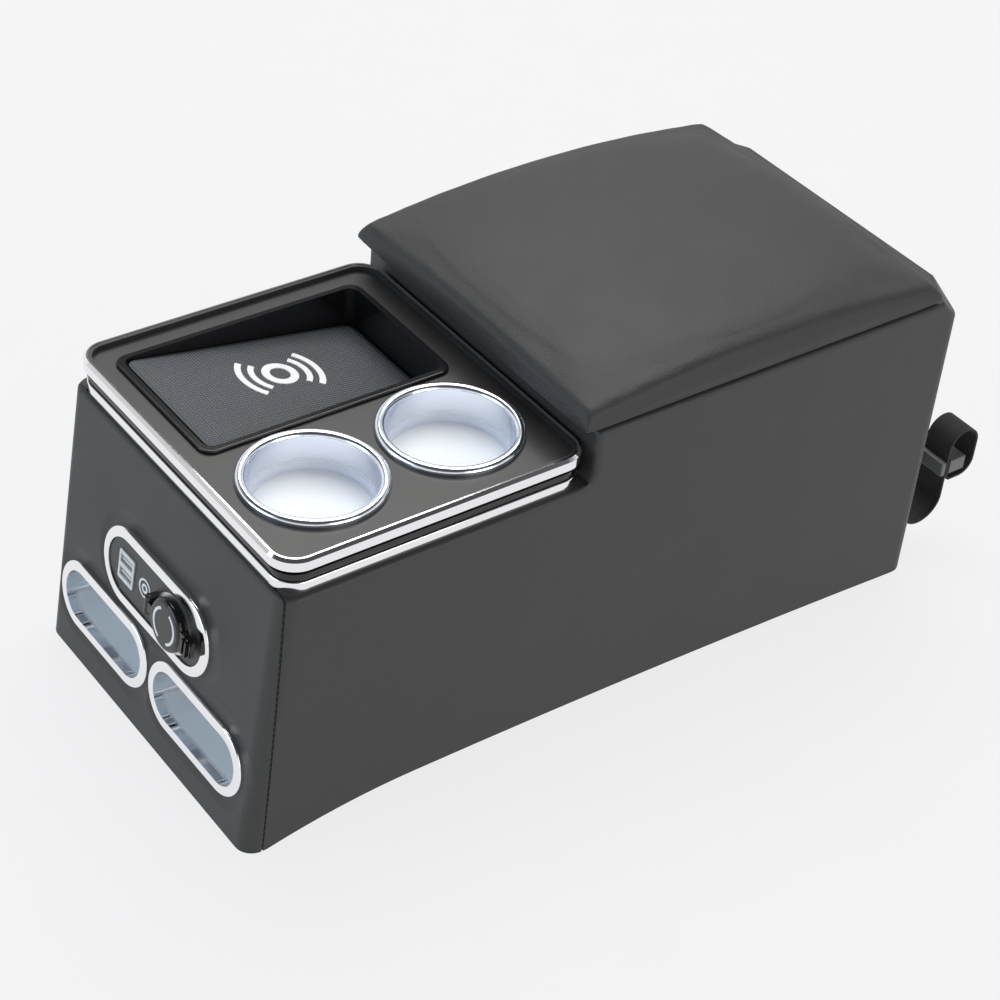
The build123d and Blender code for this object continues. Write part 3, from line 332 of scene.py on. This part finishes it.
for evening in range(evening_rounds):
    totals = [shift.copy() for shift in swelling]
    shares = [1] * len(swelling)
    for a, b in edge_ends:
        totals[a] += swelling[b]
        totals[b] += swelling[a]
        shares[a] += 1
        shares[b] += 1
    swelling = [total / share for total, share in zip(totals, shares)]
for vertex, home, shift in zip(pad.data.vertices, start, swelling):
    vertex.co = home + shift
even_out = pad.modifiers.new("even_out", "SMOOTH")
even_out.factor = 0.5
even_out.iterations = 1
rounder = pad.modifiers.new("rounder", "SUBSURF")
rounder.levels = 1
rounder.render_levels = 1
bpy.context.view_layer.update()
settle(pad)
lid_middle, lid_half = (lid_low + lid_high) / 2, (lid_high - lid_low) / 2
corner_reach, squareness = 0.010, 8
foot_height, foot_reach, foot_fade, foot_gap = 0.005, 0.003, 1.6, 0.0004
for vertex in pad.data.vertices:
    from_middle = vertex.co - lid_middle
    past_x = abs(from_middle.x) - (lid_half.x - corner_reach)
    past_y = abs(from_middle.y) - (lid_half.y - corner_reach)
    if past_x > 0 and past_y > 0:
        reach = math.hypot(past_x, past_y)
        square = (past_x**squareness + past_y**squareness) ** (1 / squareness)
        growth = (reach / square - 1) * min(reach / corner_reach, 1.0) ** 2
        vertex.co.x += math.copysign(past_x * growth, from_middle.x)
        vertex.co.y += math.copysign(past_y * growth, from_middle.y)
    vertex.co.z = max(vertex.co.z, lid_low.z + foot_gap)
    pull = min(max(foot_fade - (vertex.co.z - lid_low.z) / foot_height, 0.0), 1.0)
    for axis in (0, 1):
        short = lid_half[axis] - abs(vertex.co[axis] - lid_middle[axis])
        if short < foot_reach:
            outward = pull * short if short > 0 else short
            vertex.co[axis] += math.copysign(outward, vertex.co[axis] - lid_middle[axis])
pad.data.shade_smooth()
pad.data.materials.clear()
pad.data.materials.append(lid_leather)
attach(pad, "lid")
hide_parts("lid_cushion")

# Boards, bin lining and bumpers
# Fibreboard, glued and nailed into a box; black flock in the bin and under the lid; two rubber
# stops under the lid's front.
board = finish("fibreboard", (0.42, 0.30, 0.19), 0.75, spread=0.4, grains=420, depth=1e-4)
dress(board, "base_board", "side_board_left", "side_board_right", "front_board", "rear_board")
dress(board, "divider_board", "panel_batten", "lid_board")
flock = finish("flock", (0.018, 0.018, 0.019), 0.95, spread=0.3, grains=1800, depth=2e-4)
flock.node_tree.nodes["Principled BSDF"].inputs["Sheen Weight"].default_value = 0.25
dress(flock, "bin_liner", "lid_lining")
dress(finish("stop_rubber", (0.02, 0.02, 0.02), 0.8), "lid_bumpers")

# Console frames and panel
# Two bright plated frames with a gloss black one between them, clipped round a satin moulding.
# The plating is even, with only the faintest smears.
chrome = finish(
    "bright_plate", (0.88, 0.88, 0.89), 0.07, metallic=1.0, spread=0.02, smudge=0.05, depth=0
)
dress(chrome, "trim_upper", "trim_lower")
gloss = finish("gloss_black", (0.008, 0.008, 0.009), 0.12, smudge=0.06, depth=0)
dress(gloss, "gap_frame")
dress(finish("satin_panel", (0.031, 0.030, 0.030), 0.33, depth=2e-5), "console_panel")

# Cups
# Turned inserts, bright plated on the rim and the wall and frosted at the foot, dropped into the
# panel; a pale frosted disc lies in the floor of each.


def graded(tree, value, low, high, to_low=0.0, to_high=1.0, curve="LINEAR"):
    """Socket that goes from to_low to to_high as a value goes from low to high."""
    node = tree.nodes.new("ShaderNodeMapRange")
    node.interpolation_type = curve
    node.inputs["From Min"].default_value = low
    node.inputs["From Max"].default_value = high
    node.inputs["To Min"].default_value = to_low
    node.inputs["To Max"].default_value = to_high
    tree.links.new(value, node.inputs["Value"])
    return node.outputs["Result"]


disc_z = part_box("cup_mat_front")[1].z
frost_top, plate_foot = disc_z + 0.003, disc_z + 0.008
cup_plate = finish("cup_plate", (0.86, 0.90, 0.98), 0.17, metallic=1.0, spread=0.03, depth=0)
tree = cup_plate.node_tree
where = tree.nodes.new("ShaderNodeTexCoord")
height = tree.nodes.new("ShaderNodeSeparateXYZ")
link(tree, where, "Object", height, "Vector")
plated = graded(tree, height.outputs["Z"], frost_top, plate_foot)
tree.links.new(plated, tree.nodes["Principled BSDF"].inputs["Metallic"])
dress(cup_plate, "cup_front", "cup_rear")
frosted_disc = finish("frosted_disc", (0.86, 0.89, 0.92), 0.35, spread=0.05)
dress(frosted_disc, "cup_mat_front", "cup_mat_rear")

# Charging tray, its dotted mat and its signal sign
# A gloss black tray let into the panel, with a dotted rubber mat stuck on its sloping floor. A node
# tree sets the dots on the mat; the sign, a ring and four arcs, is printed over them in white.
dress(gloss, "charging_tray")
dress(finish("mat_rubber", (0.040, 0.043, 0.048), 0.5, spread=0.2), "charging_mat")
dot_rubber = finish("dot_rubber", (0.20, 0.215, 0.245), 0.45, spread=0.2)
tray_drop, tray_run, mat_half_thickness = 0.024, 0.147, 0.00075
dot_field, dot_size = (0.1396, 0.0832, 0.0), (0.00055, 0.00055, 0.0004)
dots_along, dots_across = 80, 48
mat_low, mat_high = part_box("charging_mat")
slope = math.atan2(tray_drop, tray_run)
mat_along = Vector((math.cos(slope), 0, -math.sin(slope)))
mat_up = Vector((math.sin(slope), 0, math.cos(slope)))
mat_middle = (mat_low + mat_high) / 2 + mat_up * mat_half_thickness
dots = bpy.data.node_groups.new("mat_dots", "GeometryNodeTree")
add_sockets(dots, "INPUT", "Geometry", "Geometry")
add_sockets(dots, "INPUT", "Vector", "Field")
add_sockets(dots, "INPUT", "Int", "Dots along", "Dots across")
add_sockets(dots, "INPUT", "Vector", "Dot size", "Place", "Tilt")
add_sockets(dots, "INPUT", "Material", "Rubber")
add_sockets(dots, "OUTPUT", "Geometry", "Geometry")
entry = dots.nodes.new("NodeGroupInput")
leave = dots.nodes.new("NodeGroupOutput")
parts = dots.nodes.new("ShaderNodeSeparateXYZ")
field = dots.nodes.new("GeometryNodeMeshGrid")
dome = dots.nodes.new("GeometryNodeMeshIcoSphere")
dome.inputs["Radius"].default_value = 1.0
dome.inputs["Subdivisions"].default_value = 1
place = dots.nodes.new("GeometryNodeInstanceOnPoints")
real = dots.nodes.new("GeometryNodeRealizeInstances")
move = dots.nodes.new("GeometryNodeTransform")
paint = dots.nodes.new("GeometryNodeSetMaterial")
link(dots, entry, "Field", parts, "Vector")
link(dots, parts, "X", field, "Size X")
link(dots, parts, "Y", field, "Size Y")
link(dots, entry, "Dots along", field, "Vertices X")
link(dots, entry, "Dots across", field, "Vertices Y")
link(dots, field, "Mesh", place, "Points")
link(dots, dome, "Mesh", place, "Instance")
link(dots, entry, "Dot size", place, "Scale")
link(dots, place, "Instances", real, "Geometry")
link(dots, real, "Geometry", move, "Geometry")
link(dots, entry, "Place", move, "Translation")
link(dots, entry, "Tilt", move, "Rotation")
link(dots, move, "Geometry", paint, "Geometry")
link(dots, entry, "Rubber", paint, "Material")
link(dots, paint, "Geometry", leave, "Geometry")
mat_dots = bpy.data.objects.new("mat_dots", bpy.data.meshes.new("mat_dots"))
scene.collection.objects.link(mat_dots)
maker = mat_dots.modifiers.new("dots", "NODES")
maker.node_group = dots
dot_inputs = {
    "Field": dot_field,
    "Dots along": dots_along,
    "Dots across": dots_across,
    "Dot size": dot_size,
    "Place": mat_middle,
    "Tilt": (0.0, slope, 0.0),
    "Rubber": dot_rubber,
}
set_inputs(maker, dot_inputs)
bpy.context.view_layer.update()
settle(mat_dots)
mat_dots.data.shade_smooth()
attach(mat_dots, "box")

white_print = finish("white_print", (0.86, 0.87, 0.88), 0.5)


def flat_band(shape, frame_of, inner, outer, middle, half, pieces, low, high):
    """Flat band between two radii, half an angle to each side of a middle one, in shape."""
    rings = []
    for step in range(pieces + 1):
        angle = math.radians(middle - half + 2 * half * step / pieces)
        rim = Vector((math.cos(angle), math.sin(angle), 0.0))
        corners = ((inner, low), (outer, low), (outer, high), (inner, high))
        places = [frame_of @ (rim * radius + Vector((0, 0, h))) for radius, h in corners]
        rings.append([shape.verts.new(place) for place in places])
    for a, b in zip(rings, rings[1:]):
        for k in range(4):
            shape.faces.new((a[k], a[(k + 1) % 4], b[(k + 1) % 4], b[k]))
    if half < 180:
        shape.faces.new(rings[0][::-1])
        shape.faces.new(rings[-1])
    bmesh.ops.remove_doubles(shape, verts=shape.verts, dist=1e-7)


def printed(name, shape):
    """Piece of white print from the bands in shape."""
    bmesh.ops.recalc_face_normals(shape, faces=shape.faces)
    mesh = bpy.data.meshes.new(name)
    shape.to_mesh(mesh)
    shape.free()
    mesh.materials.append(white_print)
    piece = bpy.data.objects.new(name, mesh)
    scene.collection.objects.link(piece)
    return piece


sign_along, sign_across, sign_thickness = 0.0031, 0.0085, 0.0006
ring_inner, ring_outer = 0.0058, 0.0104
arc_sizes = ((0.0146, 0.0180, 44), (0.0216, 0.0252, 42))
sign_frame = Matrix.Translation(mat_middle + mat_along * sign_along + Vector((0, sign_across, 0)))
sign_frame = sign_frame @ Matrix((mat_along, (0, 1, 0), mat_up)).transposed().to_4x4()
shape = bmesh.new()
flat_band(shape, sign_frame, ring_inner, ring_outer, 180, 180, 48, 0.0, sign_thickness)
for inner, outer, half in arc_sizes:
    for middle in (0, 180):
        flat_band(shape, sign_frame, inner, outer, middle, half, 24, 0.0, sign_thickness)
sign = printed("signal_sign", shape)
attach(sign, "box")

# Charger under the tray
# Wound copper wire on a circuit board, in a plain case stuck under the tray floor. All three are
# out of sight.
copper = finish("copper", (0.70, 0.36, 0.18), 0.35, metallic=1.0, spread=0.3, grains=900)
dress(copper, "charger_coil")
dress(finish("circuit", (0.015, 0.10, 0.04), 0.5), "charger_board")
dress(finish("case_plastic", (0.02, 0.02, 0.02), 0.6), "charger_case")

# Front panel and its pockets
# Bright plated oblong inserts with a pale frosted floor, pushed through the leather into the front
# board. The padded leather of the front panel sinks a little round them and round the bezel.
lean_angle = math.atan(lean)
face_out = Vector((-math.cos(lean_angle), 0, math.sin(lean_angle)))
face_up = Vector((math.sin(lean_angle), 0, math.cos(lean_angle)))
face_level = Vector((box_front, 0, 0)).dot(face_out)
pocket_y, pocket_z, pocket_straight, pocket_radius = 0.04875, 0.0435, 0.02625, 0.021
bezel_z, bezel_straight, bezel_radius = 0.09375, 0.031, 0.0235
sink_reach, sink_depth = 0.010, 0.0018


def measured(tree, vectors, direction):
    """Socket with how far a vector reaches along a direction."""
    node = tree.nodes.new("ShaderNodeVectorMath")
    node.operation = "DOT_PRODUCT"
    node.inputs[1].default_value = direction
    tree.links.new(vectors, node.inputs[0])
    return node.outputs["Value"]


front_leather = leather("front_leather", box_black, box_roughness, box_unevenness)
dress(front_leather, "cover_front")
tree = front_leather.node_tree
where = tree.nodes.new("ShaderNodeTexCoord")
sideways = tree.nodes.new("ShaderNodeSeparateXYZ")
link(tree, where, "Object", sideways, "Vector")
rise = measured(tree, where.outputs["Object"], face_up)
fullness = 1.0
for y, z, straight, radius in (
    (-pocket_y, pocket_z, pocket_straight, pocket_radius),
    (pocket_y, pocket_z, pocket_straight, pocket_radius),
    (0.0, bezel_z, bezel_straight, bezel_radius),
):
    level = Vector((box_front + lean * z, 0, z)).dot(face_up)
    off_y = work_out(tree, "ABSOLUTE", work_out(tree, "SUBTRACT", sideways.outputs["Y"], y))
    past_y = work_out(tree, "MAXIMUM", work_out(tree, "SUBTRACT", off_y, straight), 0.0)
    past_up = work_out(tree, "SUBTRACT", rise, level)
    square_y = work_out(tree, "MULTIPLY", past_y, past_y)
    square_up = work_out(tree, "MULTIPLY", past_up, past_up)
    away = work_out(tree, "SQRT", work_out(tree, "ADD", square_y, square_up))
    swell = graded(tree, away, radius, radius + sink_reach, curve="SMOOTHSTEP")
    fullness = work_out(tree, "MINIMUM", swell, fullness)
sunk = tree.nodes.new("ShaderNodeBump")
sunk.inputs["Distance"].default_value = sink_depth
front_normal = tree.nodes["Principled BSDF"].inputs["Normal"]
tree.links.new(fullness, sunk.inputs["Height"])
tree.links.new(front_normal.links[0].from_socket, sunk.inputs["Normal"])
tree.links.new(sunk.outputs["Normal"], front_normal)

plate_colour, floor_colour = (0.88, 0.89, 0.91), (0.86, 0.94, 1.0)
plating_end, frost_start = face_level - 0.002, face_level - 0.005
wall_tilt, floor_tilt = 0.30, 0.60
pocket_plate = finish("pocket_plate", plate_colour, 0.07, metallic=1.0, depth=0)
tree = pocket_plate.node_tree
pocket_shader = tree.nodes["Principled BSDF"]
where = tree.nodes.new("ShaderNodeTexCoord")
outward = measured(tree, where.outputs["Object"], face_out)
inside = graded(tree, outward, frost_start, plating_end, 1.0, 0.0)
upward = measured(tree, where.outputs["Normal"], face_up)
lying = graded(tree, upward, wall_tilt, floor_tilt)
frosted = work_out(tree, "MULTIPLY", inside, lying)
for input_name, plated, pale in (("Metallic", 1.0, 0.0), ("Roughness", 0.07, 0.25)):
    share = graded(tree, frosted, 0.0, 1.0, plated, pale)
    tree.links.new(share, pocket_shader.inputs[input_name])
plating = tree.nodes.new("ShaderNodeMixRGB")
plating.inputs["Color1"].default_value = (*plate_colour, 1.0)
plating.inputs["Color2"].default_value = (*floor_colour, 1.0)
tree.links.new(frosted, plating.inputs["Fac"])
link(tree, plating, "Color", pocket_shader, "Base Color")
dress(pocket_plate, "pocket_left", "pocket_right")

# Power plate
# A satin plate in a bright bezel, clipped into the front board, with a double port and a 12 V
# socket whose gloss cap flips on a pin. The marks beside the port and on the cap are printed.
dress(chrome, "power_bezel")
dress(finish("plate_plastic", (0.040, 0.038, 0.040), 0.42), "power_plate", "cap_bracket")
dress(finish("port_frame", (0.72, 0.73, 0.73), 0.4), "usb_frame")
dress(finish("port_plastic", (0.62, 0.63, 0.62), 0.5), "usb_ports")
steel = finish("plated_steel", (0.56, 0.56, 0.57), 0.3, metallic=1.0)
dress(steel, "socket_barrel", "socket_contact", "cap_pin")
dress(gloss, "socket_cap")
plate_proud, cap_proud, mark_y, cap_y = 0.0022, 0.0070, 0.011, -0.021
print_height, mark_root, cap_root = 0.00015, -0.0001, -0.0002
mark_rings = ((0.0047, 0.0059, 40), (0.0015, 0.0029, 32))
arc_inner, arc_outer, arc_half = 0.0092, 0.0108, 66
plate_middle = Vector((box_front + lean * bezel_z, 0, bezel_z)) + face_out * plate_proud
plate_frame = Matrix(((0, -1, 0), face_up, face_out)).transposed().to_4x4()
mark_frame = Matrix.Translation(plate_middle + Vector((0, mark_y, 0))) @ plate_frame
shape = bmesh.new()
for inner, outer, pieces in mark_rings:
    flat_band(shape, mark_frame, inner, outer, 180, 180, pieces, mark_root, print_height)
mark = printed("port_mark", shape)
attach(mark, "box")
cap_middle = plate_middle + face_out * cap_proud + Vector((0, cap_y, 0))
cap_frame = Matrix.Translation(cap_middle) @ plate_frame
shape = bmesh.new()
for middle in (0, 180):
    flat_band(
        shape, cap_frame, arc_inner, arc_outer, middle, arc_half, 30, cap_root, print_height
    )
ring = printed("cap_ring", shape)
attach(ring, "cap")

# Hinges and screws
# Two steel butt hinges, painted black, screwed to the rear wall and under the lid. Leaves, pins
# and screws share one finish.
black_steel = finish("black_steel", (0.02, 0.02, 0.021), 0.4, spread=0.2)
dress(black_steel, "hinge_leaf_left", "hinge_leaf_right", "hinge_pin_left", "hinge_pin_right")
dress(black_steel, "lid_leaf_left", "lid_leaf_right", "hinge_body_screws", "hinge_lid_screws")

# Rear strap
# Woven black webbing under a screwed steel plate, with a grey slider that takes up its length.
# The ribs of the weave run along the webbing.
webbing = finish("webbing", (0.016, 0.016, 0.017), 0.8)
tree = webbing.node_tree
where = tree.nodes.new("ShaderNodeTexCoord")
weave = tree.nodes.new("ShaderNodeTexWave")
weave.bands_direction = "Y"
weave.inputs["Scale"].default_value = 240.0
weave.inputs["Distortion"].default_value = 1.5
weave.inputs["Detail Scale"].default_value = 4.0
rib = tree.nodes.new("ShaderNodeBump")
rib.inputs["Distance"].default_value = 0.0004
link(tree, where, "Object", weave, "Vector")
link(tree, weave, "Fac", rib, "Height")
link(tree, rib, "Normal", tree.nodes["Principled BSDF"], "Normal")
dress(webbing, "strap_webbing")
dress(finish("slider_plastic", (0.13, 0.133, 0.135), 0.4), "strap_slider")
dress(steel, "strap_anchor", "strap_screws")

# Floor, light and camera
# A pale floor that the camera sees as one even tone, with a faint shadow under the box; a big soft
# light above, a cool one in front and one at the side; the camera stands where the photo's did.
floor_half = 40
corners = [(-1, -1), (1, -1), (1, 1), (-1, 1)]
floor_mesh = bpy.data.meshes.new("floor")
floor_mesh.from_pydata(
    [(x * floor_half, y * floor_half, 0) for x, y in corners], [], [(0, 1, 2, 3)]
)
floor = bpy.data.objects.new("floor", floor_mesh)
scene.collection.objects.link(floor)
background = (0.913, 0.913, 0.921, 1.0)


def seen_share(tree, share):
    """Share for the rays that show the background in the picture, and none for the rest."""
    rays = tree.nodes.new("ShaderNodeLightPath").outputs
    shown = work_out(tree, "MAXIMUM", rays["Is Camera Ray"], rays["Is Glossy Ray"])
    shown = work_out(tree, "MAXIMUM", shown, rays["Is Transmission Ray"])
    return work_out(tree, "MULTIPLY", shown, share)


shadow_reach, clear_reach, shadow_share = 0.4, 1.6, 0.88
floor_paint = finish("floor", (0.80, 0.80, 0.81), 0.9)
tree = floor_paint.node_tree
tone = tree.nodes.new("ShaderNodeEmission")
tone.inputs["Color"].default_value = background
where = tree.nodes.new("ShaderNodeTexCoord")
away = tree.nodes.new("ShaderNodeVectorMath")
away.operation = "LENGTH"
link(tree, where, "Object", away, 0)
share = graded(tree, away.outputs["Value"], shadow_reach, clear_reach, shadow_share, 1.0)
mix = tree.nodes.new("ShaderNodeMixShader")
tree.links.new(seen_share(tree, share), mix.inputs["Fac"])
link(tree, tree.nodes["Principled BSDF"], "BSDF", mix, 1)
link(tree, tone, "Emission", mix, 2)
link(tree, mix, "Shader", tree.nodes["Material Output"], "Surface")
floor_mesh.materials.append(floor_paint)


def soft_light(name, spot, aim, size, power, colour):
    """Square area light at spot, turned to aim."""
    lamp = bpy.data.lights.new(name, "AREA")
    lamp.shape = "SQUARE"
    lamp.size = size
    lamp.energy = power
    lamp.color = colour
    holder = bpy.data.objects.new(name, lamp)
    scene.collection.objects.link(holder)
    holder.location = spot
    holder.rotation_euler = (Vector(aim) - Vector(spot)).to_track_quat("-Z", "Y").to_euler()


soft_light("top_light", (0.5, 0.7, 1.9), (0.0, 0.0, 0.1), 1.6, 36.0, (1.0, 0.99, 0.97))
soft_light("front_light", (-1.9, 0.5, 0.7), (-0.1, 0.0, 0.1), 1.2, 11.0, (0.62, 0.81, 1.0))
soft_light("side_light", (0.3, -2.1, 0.9), (0.0, 0.0, 0.1), 1.4, 14.0, (1.0, 0.99, 0.95))
wall_top, ceiling_start = 0.30, 0.62
world = bpy.data.worlds.new("studio")
world.use_nodes = True
tree = world.node_tree
room = tree.nodes["Background"]
room.inputs["Color"].default_value = (0.34, 0.35, 0.36, 1.0)
where = tree.nodes.new("ShaderNodeTexCoord")
height = tree.nodes.new("ShaderNodeSeparateXYZ")
walls = tree.nodes.new("ShaderNodeMixRGB")
walls.inputs["Color1"].default_value = background
walls.inputs["Color2"].default_value = (0.07, 0.07, 0.075, 1.0)
backdrop = tree.nodes.new("ShaderNodeBackground")
link(tree, where, "Generated", height, "Vector")
upward = graded(tree, height.outputs["Z"], wall_top, ceiling_start)
tree.links.new(upward, walls.inputs["Fac"])
link(tree, walls, "Color", backdrop, "Color")
mix = tree.nodes.new("ShaderNodeMixShader")
tree.links.new(seen_share(tree, 1.0), mix.inputs["Fac"])
link(tree, room, "Background", mix, 1)
link(tree, backdrop, "Background", mix, 2)
link(tree, mix, "Shader", tree.nodes["World Output"], "Surface")
scene.world = world
scene.view_settings.view_transform = "Standard"

lens = bpy.data.cameras.new("camera")
lens.sensor_width = 36.0
lens.lens = 88.93
lens.dof.use_dof = False
camera = bpy.data.objects.new("camera", lens)
scene.collection.objects.link(camera)
scene.camera = camera
camera_spot = (-0.7428, -0.8722, 0.9485)
yaw, pitch, roll = math.radians(50.67), math.radians(37.86), math.radians(5.76)
ahead = Vector(
    (math.cos(yaw) * math.cos(pitch), math.sin(yaw) * math.cos(pitch), -math.sin(pitch))
)
right = Vector((math.sin(yaw), -math.cos(yaw), 0.0))
up = right.cross(ahead)
rolled_right = right * math.cos(roll) + up * math.sin(roll)
rolled_up = up * math.cos(roll) - right * math.sin(roll)
turned = Matrix((rolled_right, rolled_up, -ahead)).transposed().to_4x4()
camera.matrix_world = Matrix.Translation(camera_spot) @ turned
